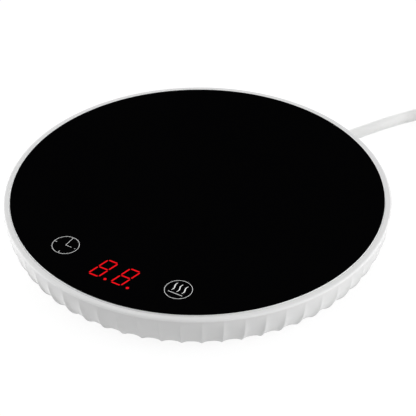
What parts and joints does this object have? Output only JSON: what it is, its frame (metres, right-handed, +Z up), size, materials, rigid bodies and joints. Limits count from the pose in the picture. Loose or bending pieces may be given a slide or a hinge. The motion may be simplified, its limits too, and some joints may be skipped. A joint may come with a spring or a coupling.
{
  "type": "electric mug warmer",
  "caption": "Flat round desk mug warmer: black glass heating plate over a lit digit display and two touch keys, white rim, fluted tray on rubber feet, and a USB supply lead.",
  "frame": {"origin": "on the table under the middle of the round body, at the bottom of the rubber feet", "axes": "+Z up through the glass; -Y towards the display edge, which is the front; +X to the right for a person who faces the front; the lead leaves at the back, turned from +Y towards +X"},
  "size_m": [0.1616, 0.1878, 0.0171],
  "materials": {
    "black_glass": "polished, printed black from below",
    "silicone": "matt",
    "white_gloss": "satin to glossy white",
    "white_matt": "fine matt white",
    "foot_rubber": "matt",
    "screw_steel": "zinc plated",
    "spreader_aluminium": "plain rolled",
    "heater_film": "clear amber film over etched tracks",
    "insulation": "felted fibre",
    "white_wire": "smooth",
    "red_wire": "smooth",
    "black_wire": "smooth",
    "board_green": "solder mask over laminate",
    "lit_red": "lit diffuser",
    "led_chip": "matt",
    "spring_steel": "plain wire",
    "black_plastic": "fine matt",
    "can_aluminium": "drawn can",
    "cord_jacket": "smooth satin white",
    "plug_steel": "nickel plated sheet",
    "contact_brass": "gold plated"
  },
  "bodies": {
    "root": {"glass_plate": "black_glass", "glass_adhesive": "silicone", "rim_ring": "white_gloss", "fluted_tray": "white_matt", "rubber_feet": "foot_rubber", "housing_screws": "screw_steel", "heat_spreader": "spreader_aluminium", "heating_film": "heater_film", "insulation_pad": "insulation", "heater_retainer": "screw_steel", "retainer_screws": "screw_steel", "thermistor": "black_plastic", "thermistor_leads": "white_wire", "thermal_cutoff": "white_matt", "heater_leads": "red_wire", "control_board": "board_green", "board_screws": "screw_steel", "display_light_box": "white_matt", "display_segments": "lit_red", "segment_leds": "led_chip", "touch_springs": "spring_steel", "microcontroller": "black_plastic", "heater_switch": "black_plastic", "smoothing_capacitor": "can_aluminium", "buzzer": "black_plastic", "power_leads": "black_wire", "cord_clamp": "white_matt", "clamp_screws": "screw_steel", "strain_relief": "cord_jacket", "cord_tail": "cord_jacket", "cord": "cord_jacket", "cord_coil": "cord_jacket", "coil_tie": "black_plastic", "plug_lead": "cord_jacket", "plug_grip": "white_matt", "plug_shell": "plug_steel", "plug_insulator": "white_matt", "plug_contacts": "contact_brass"}
  },
  "joints": []
}
